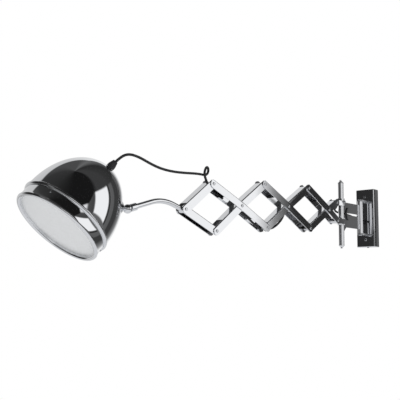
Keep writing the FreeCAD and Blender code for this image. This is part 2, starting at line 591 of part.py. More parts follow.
def lamp_cord_route(grip_seat, grip_normal):
    """From inside the bowl, over the gooseneck, round one curl and into the arm."""
    top = at("T1")
    lead = GRIP_HEIGHT + 8.0
    route = [grip_seat - grip_normal * (2 * BOWL_WALL + SEAT_GAP), grip_seat + grip_normal * lead]
    route += [FreeCAD.Vector(*point) for point in (
        (5.5, -903.0, 44.8),
        (3.0, -873.0, 43.1),
        (1.0, -843.0, 35.6),
        (0.0, -812.0, 29.8),
        (0.0, -777.0, 28.4),
        (0.0, -742.0, 30.6),
        (0.2, -716.0, 33.0),
        (0.0, -698.0, 33.9),
        (-0.5, -687.0, 33.6),
        (-1.2, -677.3, 35.6),
        (-1.5, -672.0, 42.0),
        (0.0, -674.0, 49.5),
        (2.8, -682.5, 50.6),
        (5.2, -690.0, 43.5),
        (5.6, -692.5, 34.8),
        (4.4, -688.5, 27.5),
    )]
    route += [top + FreeCAD.Vector(1.2, -10.8, 4.2), top + FreeCAD.Vector(0, -8.3, -4.4)]
    return route


def wall_cord_route():
    """Down out of the upper collar's lug, behind the rod, along the plate, past the
    barrel and in through the grommet."""
    side = -clip_ring_offset()
    lug_x = side / 2
    lug_y = PIVOT_Y + PIVOT_OFFSET / 2
    behind_rod = -(ROD_RADIUS + 2 * CORD_RADIUS)
    behind_barrel = -(BARREL_RADIUS + 1.7 * CORD_RADIUS)
    return [
        FreeCAD.Vector(lug_x, lug_y, PIVOTS["T4"][1]),
        FreeCAD.Vector(lug_x, lug_y, PIVOTS["T4"][1] - 18.0),
        FreeCAD.Vector(lug_x - 5.5, lug_y + 5.5, SLOT_RISE - 2.5),
        FreeCAD.Vector(behind_rod, ROD_Y + 1.0, SLOT_RISE - 3.0),
        FreeCAD.Vector(side, ROD_Y + 13.5, SLOT_RISE),
        FreeCAD.Vector(side, ROD_Y + 38.0, SLOT_RISE),
        FreeCAD.Vector(side - 0.6, ROD_Y + 62.0, SLOT_RISE - 2.0),
        FreeCAD.Vector(behind_barrel + 1.0, HINGE_Y - 15.5, -1.0),
        FreeCAD.Vector(behind_barrel, HINGE_Y + 5.0, 4.0 - CORD_ENTRY_DROP),
        FreeCAD.Vector(0, FACE_Y - 11.0, -CORD_ENTRY_DROP),
        FreeCAD.Vector(0, FACE_Y + 5.0, -CORD_ENTRY_DROP),
    ]


def build_cords(grip_seat, grip_normal):
    route = lamp_cord_route(grip_seat, grip_normal)
    turn_join = (route[3] + route[4]) / 2
    neck_join = (route[5] + route[6]) / 2
    wall_route = wall_cord_route()
    hinge_join = (wall_route[6] + wall_route[7]) / 2
    pieces = {
        "lamp_cord_shade": route[:4] + [turn_join],
        "lamp_cord_ball": [turn_join] + route[4:6] + [neck_join],
        "lamp_cord_arm": [neck_join] + route[6:],
        "plate_cord": wall_route[:7] + [hinge_join],
        "hinge_cord": [hinge_join] + wall_route[7:],
    }
    for name, points in pieces.items():
        keep(name, cord_solid(name, points))
    under_web = LINK_HALF_WIDTH - LINK_SHEET - SIDE_GAP - CORD_RADIUS
    hidden = ((WEB_CLEAR_UP, under_web), (HALF_LINK - WEB_CLEAR_HEAD, under_web))
    down = [(far, -high) for far, high in hidden]
    clear = PIN_HOLE_RADIUS + SPACER_WALL + CORD_RADIUS + SIDE_GAP
    low = beside_link(at("C1"), at("B2"), [
        (14.0, -6.0), (37.0, -6.6), (70.0, -8.8), (HALF_LINK - 1.5, -clear - 0.2)])
    bow = beside_link(at("B2"), at("C2"), [
        (2.0, -clear), (10.0, -clear - 0.2), (24.0, -14.6), (40.0, -18.2),
        (62.0, -18.8), (81.0, -14.8), (94.0, -clear - 0.3)])
    keep("arm_cord_1",
         cord_solid("arm_cord_1 upper", beside_link(at("C1"), at("T1"), down)),
         cord_solid("arm_cord_1 lower", low))
    keep("arm_cord_2",
         cord_solid("arm_cord_2 lower", bow),
         cord_solid("arm_cord_2 upper", beside_link(at("C2"), at("T3"), hidden)))


# ================================================================ gooseneck and ball
def tube_path():
    """Centre points of the gooseneck: ball end, corner and tip end (y, z)."""
    tip = at("A")
    ball = tip + FreeCAD.Vector(0, -BALL_OUT, -BALL_DROP)
    rise_ball = math.tan(math.radians(TUBE_LIFT_BALL))
    rise_tip = math.tan(math.radians(TUBE_LIFT_TIP))
    corner_y = (tip.z - ball.z + rise_ball * ball.y + rise_tip * tip.y) / (rise_ball + rise_tip)
    corner = FreeCAD.Vector(0, corner_y, ball.z + rise_ball * (corner_y - ball.y))
    return ball, corner, tip


def bent_path(start, corner, end, radius):
    """Two straight runs joined by a tangent arc."""
    into = (corner - start).normalize()
    out = (end - corner).normalize()
    turn = into.getAngle(out)
    trim = radius * math.tan(turn / 2)
    first = corner - into * trim
    last = corner + out * trim
    inward = (out - into).normalize()
    middle = corner + inward * (radius / math.cos(turn / 2) - radius)
    return Part.Wire([
        Part.LineSegment(start, first).toShape(),
        Part.Arc(first, middle, last).toShape(),
        Part.LineSegment(last, end).toShape(),
    ])


def sweep_round(path, radius, start, direction):
    ring = Part.Wire([Part.Circle(start, direction, radius).toShape()])
    return path.makePipeShell([ring], True, False)


def build_gooseneck():
    ball, corner, tip = tube_path()
    from_ball = (corner - ball).normalize()
    into_tip = (tip - corner).normalize()
    start = ball + from_ball * (FERRULE_START + FERRULE_LENGTH / 2)
    end = tip - into_tip * (KNUCKLE_RADIUS - SEAT_GAP)
    path = bent_path(start, corner, end, TUBE_BEND_RADIUS)
    skin = sweep_round(path, TUBE_RADIUS, start, from_ball)
    bore = sweep_round(path, TUBE_RADIUS - TUBE_WALL, start, from_ball)
    knuckle_width = TIP_WIDTH - 2 * LINK_SHEET - 2 * SIDE_GAP
    knuckle = rod_along(X_AXIS, KNUCKLE_RADIUS, knuckle_width, tip)
    neck = skin.cut(bore).cut(knuckle)
    keep("gooseneck_tube", neck)
    keep("tip_knuckle", knuckle.cut(rod_along(X_AXIS, PIN_HOLE_RADIUS, 2 * knuckle_width, tip)))
    ferrule = Part.makeCylinder(FERRULE_RADIUS, FERRULE_LENGTH, ball + from_ball * FERRULE_START, from_ball)
    ferrule = ferrule.cut(Part.makeSphere(BALL_RADIUS + RUNNING_GAP, ball))
    ferrule = ferrule.cut(Part.makeCylinder(TUBE_RADIUS + RUNNING_GAP, FERRULE_LENGTH, start, from_ball))
    keep("ferrule", ferrule)
    return ball


# ================================================================ shade
def shade_axes():
    """World directions of the shade: rear along its axis, and across towards the ball."""
    tilt = math.radians(SHADE_TILT)
    yaw = math.radians(SHADE_YAW)
    roll = math.radians(SHADE_ROLL)
    front = FreeCAD.Vector(math.sin(yaw) * math.cos(tilt), -math.cos(yaw) * math.cos(tilt), -math.sin(tilt))
    level = front.cross(Z_AXIS).normalize()
    steep = front.cross(level)
    across = level * math.cos(roll) + steep * math.sin(roll)
    return front * -1, across


def bowl_point(angle, proud=0.0):
    """Point on the bowl's ellipse in the shade's own XZ plane, moved out along its normal."""
    turn = math.radians(angle)
    normal = FreeCAD.Vector(math.cos(turn) / BOWL_RADIUS, 0, math.sin(turn) / BOWL_LENGTH).normalize()
    skin = FreeCAD.Vector(BOWL_RADIUS * math.cos(turn), 0, BEZEL_DEPTH + BOWL_LENGTH * math.sin(turn))
    return skin + normal * proud, normal


def line(a, b):
    return Part.LineSegment(a, b).toShape()


def bowl_solid():
    """Spun bowl with a short skirt that slides into the bezel."""
    skirt_radius = BAND_RADIUS - BEZEL_WALL - SEAT_GAP
    skirt_foot = FreeCAD.Vector(0, 0, BEZEL_DEPTH - SKIRT_DEPTH)
    skin = outer_dome().fuse(Part.makeCylinder(skirt_radius, SKIRT_DEPTH, skirt_foot))
    hollow = inner_dome().cut(Part.makeCylinder(2 * BOWL_RADIUS, BEZEL_DEPTH + BOWL_WALL))
    mouth = Part.makeCylinder(skirt_radius - BOWL_WALL, 2 * SKIRT_DEPTH, skirt_foot - Z_AXIS * (SKIRT_DEPTH / 2))
    return skin.removeSplitter().cut(hollow).cut(mouth)


def quarter_ellipse(radius, length):
    """Outline from the mouth to the crown, in the XZ plane."""
    centre = FreeCAD.Vector(0, 0, BEZEL_DEPTH)
    mouth = FreeCAD.Vector(radius, 0, BEZEL_DEPTH)
    crown = FreeCAD.Vector(0, 0, BEZEL_DEPTH + length)
    long_way, short_way = (crown, mouth) if length > radius else (mouth, crown)
    ellipse = Part.Ellipse(long_way, short_way, centre)
    ends = sorted((ellipse.parameter(mouth), ellipse.parameter(crown)))
    if ends[1] - ends[0] > math.pi:
        ends = (ends[1], ends[0] + 2 * math.pi)
    return Part.ArcOfEllipse(ellipse, ends[0], ends[1]).toShape(), mouth, crown


def half_ellipsoid(radius, length):
    foot = FreeCAD.Vector(0, 0, BEZEL_DEPTH)
    outline, mouth, crown = quarter_ellipse(radius, length)
    return revolve([outline, line(crown, foot), line(foot, mouth)])


def outer_dome():
    """Everything inside the bowl's outer skin."""
    return half_ellipsoid(BOWL_RADIUS, BOWL_LENGTH)


def inner_dome():
    """Everything inside the bowl's inner skin."""
    return half_ellipsoid(BOWL_RADIUS - BOWL_WALL, BOWL_LENGTH - BOWL_WALL)


def bezel_solid():
    """Front ring: a rolled lip, a plain band and a half-round bead at the rear."""
    band_in = BAND_RADIUS - BEZEL_WALL
    bead_from = BEZEL_DEPTH - BEZEL_BEAD_DEPTH
    lip_middle = FreeCAD.Vector((LIP_RADIUS + GLASS_OPENING) / 2, 0, 0)
    inner_lip = FreeCAD.Vector(GLASS_OPENING, 0, BEZEL_LIP_DEPTH / 2)
    outer_lip = FreeCAD.Vector(LIP_RADIUS, 0, BEZEL_LIP_DEPTH / 2)
    band_start = FreeCAD.Vector(BAND_RADIUS, 0, BEZEL_LIP_DEPTH)
    bead_start = FreeCAD.Vector(BAND_RADIUS, 0, bead_from)
    bead_top = FreeCAD.Vector(BEAD_RADIUS, 0, bead_from + BEZEL_BEAD_DEPTH / 2)
    bead_end = FreeCAD.Vector(BOWL_RADIUS, 0, BEZEL_DEPTH)
    rear_in = FreeCAD.Vector(band_in, 0, BEZEL_DEPTH)
    shoulder_out = FreeCAD.Vector(band_in, 0, BEZEL_LIP_DEPTH)
    shoulder_in = FreeCAD.Vector(GLASS_OPENING, 0, BEZEL_LIP_DEPTH)
    return revolve([
        Part.Arc(inner_lip, lip_middle, outer_lip).toShape(),
        line(outer_lip, band_start),
        line(band_start, bead_start),
        Part.Arc(bead_start, bead_top, bead_end).toShape(),
        line(bead_end, rear_in),
        line(rear_in, shoulder_out),
        line(shoulder_out, shoulder_in),
        line(shoulder_in, inner_lip),
    ])


def build_shade(ball):
    rear, across = shade_axes()
    turn = FreeCAD.Rotation(across, FreeCAD.Vector(), rear, "ZXY")
    seat, normal = bowl_point(SEAT_ANGLE)
    ball_local = seat + normal * (BALL_RADIUS + CUP_HEIGHT + RUNNING_GAP)
    place = FreeCAD.Placement(ball - turn.multVec(ball_local), turn)

    bowl = bowl_solid()
    cup_bolt = COVER_SCREW_RADIUS * 2
    bowl = bowl.cut(rod_along(normal, cup_bolt + RUNNING_GAP, 8 * BOWL_WALL, seat))
    grip_seat, grip_normal = bowl_point(GRIP_ANGLE)
    spin = FreeCAD.Rotation(Z_AXIS, GRIP_TURN)
    grip_seat = spin.multVec(grip_seat)
    grip_normal = spin.multVec(grip_normal)
    bowl = bowl.cut(rod_along(grip_normal, CORD_RADIUS + SIDE_GAP, 8 * BOWL_WALL, grip_seat))
    bezel = bezel_solid()

    glass_radius = BAND_RADIUS - BEZEL_WALL - SEAT_GAP
    glass = Part.makeCylinder(glass_radius, GLASS_THICK, FreeCAD.Vector(0, 0, BEZEL_LIP_DEPTH + SEAT_GAP / 2))
    gasket_from = BEZEL_LIP_DEPTH + SEAT_GAP + GLASS_THICK
    gasket_depth = BEZEL_DEPTH - SKIRT_DEPTH - SEAT_GAP / 2 - gasket_from
    gasket = tube(Z_AXIS, glass_radius, glass_radius - 3 * BOWL_WALL, gasket_depth,
                  FreeCAD.Vector(0, 0, gasket_from + gasket_depth / 2))

    screw_z = BEZEL_LIP_DEPTH + (BEZEL_DEPTH - BEZEL_LIP_DEPTH) / 2
    screws = []
    for step in range(3):
        angle = math.radians(step * 120)
        way = FreeCAD.Vector(math.cos(angle), math.sin(angle), 0)
        inside = BAND_RADIUS - BEZEL_WALL - SEAT_GAP - 2 * BOWL_WALL
        hole = rod_along(way, COVER_SCREW_RADIUS / 2 + RUNNING_GAP, 12 * BOWL_WALL, way * BAND_RADIUS + Z_AXIS * screw_z)
        bezel = bezel.cut(hole)
        bowl = bowl.cut(hole)
        shank = Part.makeCylinder(COVER_SCREW_RADIUS / 2, BAND_RADIUS - inside, way * inside + Z_AXIS * screw_z, way)
        head = Part.makeCylinder(COVER_SCREW_RADIUS, BEZEL_WALL, way * BAND_RADIUS + Z_AXIS * screw_z, way)
        screws.append(shank.fuse(head))

    cup = Part.makeCone(CUP_RADIUS, CUP_RADIUS * 0.6, CUP_HEIGHT, seat, normal)
    cup = cup.cut(outer_dome())
    cup = cup.cut(Part.makeCylinder(cup_bolt + RUNNING_GAP, 4 * CUP_HEIGHT, seat - normal * CUP_HEIGHT * 2, normal))
    stem_length = CUP_HEIGHT + RUNNING_GAP + BALL_RADIUS / 3
    stem_from = seat - normal * (3 * BOWL_WALL)
    stem = Part.makeCylinder(cup_bolt, stem_length + 3 * BOWL_WALL, stem_from, normal)
    ball_solid = Part.makeSphere(BALL_RADIUS, ball_local)
    stem = stem.cut(Part.makeSphere(BALL_RADIUS + RUNNING_GAP, ball_local))
    nut_radius = 2 * cup_bolt
    nut = Part.makeCylinder(nut_radius, 2 * BOWL_WALL, seat - normal * (4.5 * BOWL_WALL), normal)
    nut = nut.cut(rod_along(normal, cup_bolt + RUNNING_GAP, 20 * BOWL_WALL, seat))

    grip = Part.makeCylinder(GRIP_RADIUS, GRIP_FOOT, grip_seat, grip_normal)
    taper = Part.makeCone(GRIP_RADIUS, CORD_RADIUS + 2 * BOWL_WALL, GRIP_HEIGHT - GRIP_FOOT,
                          grip_seat + grip_normal * GRIP_FOOT, grip_normal)
    grip = grip.fuse(taper).removeSplitter().cut(outer_dome())
    grip = grip.cut(rod_along(grip_normal, CORD_RADIUS + SIDE_GAP, 4 * GRIP_HEIGHT, grip_seat))

    crown = BEZEL_DEPTH + BOWL_LENGTH - BOWL_WALL
    holder_top = crown - BULB_NECK_LENGTH
    holder = Part.makeCylinder(HOLDER_RADIUS, HOLDER_LENGTH, FreeCAD.Vector(0, 0, holder_top - HOLDER_LENGTH))
    bracket = Part.makeCylinder(HOLDER_RADIUS / 2, BULB_NECK_LENGTH * 2, FreeCAD.Vector(0, 0, holder_top))
    bracket = bracket.common(inner_dome())
    bulb_centre = FreeCAD.Vector(0, 0, holder_top - HOLDER_LENGTH - BULB_NECK_LENGTH)
    bulb = Part.makeSphere(BULB_RADIUS, bulb_centre)
    bulb = bulb.fuse(Part.makeCylinder(BULB_NECK_RADIUS, BULB_NECK_LENGTH + SEAT_GAP, bulb_centre))
    holder_foot = FreeCAD.Vector(0, 0, holder_top - HOLDER_LENGTH)
    bulb = bulb.cut(Part.makeCylinder(2 * BULB_RADIUS, 2 * BULB_RADIUS, holder_foot))

    pieces = {
        "shade_bowl": [bowl],
        "bezel_ring": [bezel],
        "diffuser_glass": [glass],
        "glass_gasket": [gasket],
        "bezel_screws": screws,
        "ball_cup": [cup],
        "cup_bolt": [stem],
        "cup_nut": [nut],
        "cord_grip": [grip],
        "lampholder": [holder],
        "holder_post": [bracket],
        "bulb": [bulb],
        "swivel_ball": [ball_solid],
    }
    for node, solids in pieces.items():
        for solid in solids:
            solid.Placement = place.multiply(solid.Placement)
        keep(node, *solids)
    return place.multVec(grip_seat), turn.multVec(grip_normal)


def main():
    build_wall_box()
    build_hinge()
    build_swivel()
    build_arm()
    ball = build_gooseneck()
    grip_seat, grip_normal = build_shade(ball)
    build_cords(grip_seat, grip_normal)
    os.makedirs("parts", exist_ok=True)
    for node, shape in PARTS.items():
        shape.exportStep("parts/%s.step" % node)
        valid = "ok" if shape.isValid() else "NOT VALID"
        print("%-18s solids %d volume %9.1f %s" % (node, len(shape.Solids), shape.Volume, valid))


main()
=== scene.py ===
"""Finish for the accordion wall lamp: polished chrome, frosted glass, black cord,
and the plain studio it stands in. Lengths are metres, in the part's own frame: the
origin is the middle of the box's back, +Y goes into the wall and +Z is up."""
import json
import math

import bmesh
import bpy
import numpy as np
from bpy.props import FloatProperty, FloatVectorProperty, IntProperty, PointerProperty
from mathutils import Matrix, Vector
from mathutils.bvhtree import BVHTree

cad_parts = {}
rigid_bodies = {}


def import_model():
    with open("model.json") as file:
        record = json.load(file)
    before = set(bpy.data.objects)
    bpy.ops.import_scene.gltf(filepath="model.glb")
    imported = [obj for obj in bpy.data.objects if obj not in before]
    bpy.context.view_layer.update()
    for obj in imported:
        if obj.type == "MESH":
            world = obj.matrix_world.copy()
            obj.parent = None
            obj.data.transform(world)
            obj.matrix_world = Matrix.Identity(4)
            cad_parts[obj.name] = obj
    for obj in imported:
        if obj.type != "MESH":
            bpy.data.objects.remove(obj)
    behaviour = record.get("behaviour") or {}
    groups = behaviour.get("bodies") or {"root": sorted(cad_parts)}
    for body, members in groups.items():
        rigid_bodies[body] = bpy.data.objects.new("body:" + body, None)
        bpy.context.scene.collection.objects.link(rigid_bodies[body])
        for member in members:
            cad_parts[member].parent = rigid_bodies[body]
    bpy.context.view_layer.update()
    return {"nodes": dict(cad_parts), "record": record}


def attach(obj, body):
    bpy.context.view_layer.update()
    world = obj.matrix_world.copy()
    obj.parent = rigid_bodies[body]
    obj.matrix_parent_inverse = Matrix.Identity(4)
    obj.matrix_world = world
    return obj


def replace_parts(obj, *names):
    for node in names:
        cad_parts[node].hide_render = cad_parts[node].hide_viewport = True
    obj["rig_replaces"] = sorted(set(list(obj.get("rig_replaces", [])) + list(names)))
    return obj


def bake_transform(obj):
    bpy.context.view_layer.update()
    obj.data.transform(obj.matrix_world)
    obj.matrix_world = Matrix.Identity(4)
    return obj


bl_info = {
    "name": "Accordion wall lamp",
    "version": (1, 0, 0),
    "blender": (4, 5, 0),
    "location": "3D View > Sidebar > Lamp",
    "description": "Dresses the scissor-arm wall lamp in chrome, glass and cord",
    "category": "Object",
}

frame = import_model()
BODY_OF_NODE = {
    node: body
    for body, nodes in frame["record"]["behaviour"]["bodies"].items()
    for node in nodes
}
SLOT_OF_NODE = {row["node"]: row["material_slot"] for row in frame["record"]["subparts"]}
JOINT_AT = {row["name"]: row["pos_m"] for row in frame["record"]["behaviour"]["joints"]}
PIVOT_AT = {
    "C1": JOINT_AT["cross_1"],
    "C2": JOINT_AT["cross_2"],
    "T1": JOINT_AT["top_1"],
    "T3": (0.0, -0.31506, 0.04784),
    "B2": (0.0, -0.48417, -0.05886),
}

# The cord's route in metres, as the part's source has it.
LAMP_ROUTE = (
    (-0.0071, -0.93668, 0.0146), (0.00684, -0.92666, 0.03305), (0.0055, -0.903, 0.0448),
    (0.003, -0.873, 0.0431), (0.001, -0.843, 0.0356), (0.0, -0.812, 0.0298),
    (0.0, -0.777, 0.0284), (0.0, -0.742, 0.0306), (0.0002, -0.716, 0.033),
    (0.0, -0.698, 0.0339), (-0.0005, -0.687, 0.0336), (-0.0012, -0.6773, 0.0356),
    (-0.0015, -0.672, 0.042), (0.0, -0.674, 0.0495), (0.0028, -0.6825, 0.0506),
    (0.0052, -0.69, 0.0435), (0.0056, -0.6925, 0.0348), (0.0044, -0.6885, 0.0275),
    (0.0012, -0.68003, 0.02105), (0.0, -0.67753, 0.01245),
)
WALL_ROUTE = (
    (-0.003, -0.1665, 0.0269), (-0.003, -0.1665, 0.0165), (-0.0135, -0.1605, 0.014),
    (-0.017, -0.149, 0.008), (-0.0058, -0.138, 0.003), (-0.006, -0.112, 0.003),
    (-0.0066, -0.088, 0.001), (-0.01045, -0.0675, -0.001), (-0.01145, -0.047, -0.006),
    (0.0, -0.036, -0.01), (0.0, -0.02, -0.01),
)

# Under a link's web: distance from the crossing pivot, and depth below the middle.
HIDDEN_RUN = ((0.031, -0.00445), (0.060, -0.00415), (0.090, -0.00445))
# In the open links: distance from the first pivot, and height over the middle.
LINK_RUN_1 = ((0.014, -0.006), (0.037, -0.0066), (0.070, -0.0088), (0.0985, -0.00755))
LINK_RUN_2 = (
    (0.002, -0.00735), (0.010, -0.00755), (0.024, -0.0146), (0.040, -0.0182),
    (0.062, -0.0188), (0.081, -0.0148), (0.094, -0.00765),
)

MERGE_DISTANCE = 1e-6       # doubles of a CAD mesh
FLAT_ANGLE = math.radians(0.05)
POLE_RADIUS = 1e-6          # where a spun profile meets the axis
BOWL_STEPS = 80             # steps along the spun profiles
LIP_STEPS = 25
BEAD_STEPS = 19
LEAD_STEPS = 12             # steps along the gooseneck: ball end, bend and arm end
BEND_STEPS = 61
TAIL_STEPS = 20
TUBE_SPOKES = 64
CORD_STEPS = 24             # steps of the cord's spline between two control points
CORD_ROUNDING = 6
CORD_CAP_ANGLE = math.radians(60)
CHANNEL_REACH = 0.018       # how far away the opposite wall of a channel can be
SKIN = 1e-4                 # start of a ray above its own face


# ---------------------------------------------------------------- settings
class LampMetalSettings(bpy.types.PropertyGroup):
    chrome_colour: FloatVectorProperty(
        name="Chrome", description="Colour of the plated parts", subtype="COLOR",
        size=3, min=0.0, max=1.0, default=(0.80, 0.81, 0.83))
    steel_colour: FloatVectorProperty(
        name="Steel", description="Colour of the pins and screws", subtype="COLOR",
        size=3, min=0.0, max=1.0, default=(0.66, 0.67, 0.69))
    chrome_roughness: FloatProperty(
        name="Chrome roughness", description="Blur of the plated parts' reflections",
        default=0.04, min=0.0, max=1.0, subtype="FACTOR")
    smooth_angle: FloatProperty(
        name="Smooth angle", description="Edges sharper than this stay crisp",
        default=math.radians(28), subtype="ANGLE", unit="ROTATION")


class LampShadeSettings(bpy.types.PropertyGroup):
    axis_tilt: FloatProperty(
        name="Axis tilt", description="Shade's axis below the horizontal",
        default=math.radians(50.0), subtype="ANGLE", unit="ROTATION")
    axis_yaw: FloatProperty(
        name="Axis yaw", description="Shade's axis away from the arm's plane",
        default=math.radians(-13.5), subtype="ANGLE", unit="ROTATION")
    band_radius: FloatProperty(
        name="Band radius", description="Plain band of the front ring",
        default=0.0832, unit="LENGTH")
    bowl_radius: FloatProperty(
        name="Bowl radius", description="Bowl's mouth", default=0.0846, unit="LENGTH")
    bowl_length: FloatProperty(
        name="Bowl length", description="Bowl from its mouth to its crown",
        default=0.1175, unit="LENGTH")
    bowl_wall: FloatProperty(
        name="Bowl wall", description="Thickness of the spun sheet", default=0.001, unit="LENGTH")
    bezel_depth: FloatProperty(
        name="Ring depth", description="Front ring from lip to bowl", default=0.030, unit="LENGTH")
    lip_depth: FloatProperty(
        name="Lip depth", description="Depth of the rolled lip", default=0.007, unit="LENGTH")
    glass_opening: FloatProperty(
        name="Glass opening", description="Radius of glass that shows",
        default=0.077, unit="LENGTH")
    lip_radius: FloatProperty(
        name="Lip radius", description="Outside of the rolled lip", default=0.085, unit="LENGTH")
    bead_radius: FloatProperty(
        name="Bead radius", description="Outside of the rear bead", default=0.087, unit="LENGTH")
    bead_depth: FloatProperty(
        name="Bead depth", description="Width of the rear bead", default=0.0065, unit="LENGTH")
    ring_wall: FloatProperty(
        name="Ring wall", description="Thickness of the front ring", default=0.0012, unit="LENGTH")
    seat_gap: FloatProperty(
        name="Seat gap", description="Between pieces that fit together",
        default=0.0002, unit="LENGTH")
    skirt_depth: FloatProperty(
        name="Skirt depth", description="Bowl's skirt inside the ring",
        default=0.014, unit="LENGTH")
    glass_thick: FloatProperty(
        name="Glass", description="Thickness of the frosted disc", default=0.004, unit="LENGTH")
    spokes: IntProperty(
        name="Spokes", description="Steps round each spun surface", default=288, min=32, max=512)


class LampNeckSettings(bpy.types.PropertyGroup):
    tube_radius: FloatProperty(
        name="Tube radius", description="Outside of the gooseneck", default=0.005, unit="LENGTH")
    tube_wall: FloatProperty(
        name="Tube wall", description="Thickness of the gooseneck", default=0.001, unit="LENGTH")
    bend_radius: FloatProperty(
        name="Bend radius", description="Radius of the gooseneck's bend",
        default=0.110, unit="LENGTH")
    lift_ball: FloatProperty(
        name="Slope at the ball", description="Slope of the tube at the ball",
        default=math.radians(17.0), subtype="ANGLE", unit="ROTATION")
    lift_tip: FloatProperty(
        name="Slope at the arm", description="Slope of the tube at the arm",
        default=math.radians(15.0), subtype="ANGLE", unit="ROTATION")
    ball_reach: FloatProperty(
        name="Ball reach", description="Tube's end from the ball's centre",
        default=0.0135, unit="LENGTH")
    knuckle_reach: FloatProperty(
        name="Knuckle reach", description="Tube's end from the tip's pivot",
        default=0.0068, unit="LENGTH")
    cord_radius: FloatProperty(
        name="Cord radius", description="Outside of the sheath", default=0.0025, unit="LENGTH")


class LampStageSettings(bpy.types.PropertyGroup):
    camera_place: FloatVectorProperty(
        name="Camera place", description="Where the photograph was taken from",
        subtype="XYZ", unit="LENGTH", size=3, default=(0.9704, -1.8239, -0.2059))
    camera_azimuth: FloatProperty(
        name="Azimuth", description="Camera's turn to the left of the wall's normal",
        default=math.radians(40.78), subtype="ANGLE", unit="ROTATION")
    camera_pitch: FloatProperty(
        name="Pitch", description="Camera's tilt above the horizon",
        default=math.radians(7.2), subtype="ANGLE", unit="ROTATION")
    camera_roll: FloatProperty(
        name="Roll", description="Camera's turn round its own axis",
        default=math.radians(0.37), subtype="ANGLE", unit="ROTATION")
    lens: FloatProperty(
        name="Lens", description="Focal length on a 36 mm wide sensor, in millimetres",
        default=67.8, min=1.0)
    floor_drop: FloatProperty(
        name="Floor", description="Height of the floor below the lamp",
        default=1.1, unit="LENGTH")


# ---------------------------------------------------------------- materials
def new_material(name):
    """Node material with its plain shader: (material, nodes, links, shader)."""
    material = bpy.data.materials.new(name)
    material.use_nodes = True
    tree = material.node_tree
    shader = tree.nodes["Principled BSDF"]
    return material, tree.nodes, tree.links, shader


def wear_group():
    """Fine haze: broad cloudy wear and thin rubbing marks, as one mask and one height."""
    if "Rubbed haze" in bpy.data.node_groups:
        return bpy.data.node_groups["Rubbed haze"]
    group = bpy.data.node_groups.new("Rubbed haze", "ShaderNodeTree")
    face = group.interface
    face.new_socket("Vector", in_out="INPUT", socket_type="NodeSocketVector")
    for name in ("Cloud scale", "Mark scale", "Low", "High"):
        face.new_socket(name, in_out="INPUT", socket_type="NodeSocketFloat")
    for name in ("Roughness", "Height"):
        face.new_socket(name, in_out="OUTPUT", socket_type="NodeSocketFloat")
    nodes, links = group.nodes, group.links
    inlet = nodes.new("NodeGroupInput")
    outlet = nodes.new("NodeGroupOutput")
    cloud = nodes.new("ShaderNodeTexNoise")
    cloud.inputs["Detail"].default_value = 4.0
    marks = nodes.new("ShaderNodeTexNoise")
    marks.inputs["Detail"].default_value = 2.0
    links.new(inlet.outputs["Vector"], cloud.inputs["Vector"])
    links.new(inlet.outputs["Vector"], marks.inputs["Vector"])
    links.new(inlet.outputs["Cloud scale"], cloud.inputs["Scale"])
    links.new(inlet.outputs["Mark scale"], marks.inputs["Scale"])
    both = nodes.new("ShaderNodeMath")
    both.operation = "MULTIPLY"
    links.new(cloud.outputs["Fac"], both.inputs[0])
    links.new(marks.outputs["Fac"], both.inputs[1])
    spread = nodes.new("ShaderNodeMapRange")
    spread.inputs["From Min"].default_value = 0.12
    spread.inputs["From Max"].default_value = 0.45
    links.new(both.outputs[0], spread.inputs["Value"])
    links.new(inlet.outputs["Low"], spread.inputs["To Min"])
    links.new(inlet.outputs["High"], spread.inputs["To Max"])
    links.new(spread.outputs[0], outlet.inputs["Roughness"])
    links.new(marks.outputs["Fac"], outlet.inputs["Height"])
    return group


RELIEF_DEPTH = 0.0002


def hazed(name, colour, metallic, low, high, clouds, marks, bump):
    """Material whose gloss varies with the haze group."""
    material, nodes, links, shader = new_material(name)
    shader.inputs["Base Color"].default_value = (*colour, 1.0)
    shader.inputs["Metallic"].default_value = metallic
    place = nodes.new("ShaderNodeTexCoord")
    haze = nodes.new("ShaderNodeGroup")
    haze.node_tree = wear_group()
    haze.inputs["Cloud scale"].default_value = clouds
    haze.inputs["Mark scale"].default_value = marks
    haze.inputs["Low"].default_value = low
    haze.inputs["High"].default_value = high
    links.new(place.outputs["Object"], haze.inputs["Vector"])
    links.new(haze.outputs["Roughness"], shader.inputs["Roughness"])
    if bump:
        relief = nodes.new("ShaderNodeBump")
        relief.inputs["Strength"].default_value = bump
        relief.inputs["Distance"].default_value = RELIEF_DEPTH
        links.new(haze.outputs["Height"], relief.inputs["Height"])
        links.new(relief.outputs["Normal"], shader.inputs["Normal"])
    return material


MATERIALS = {}


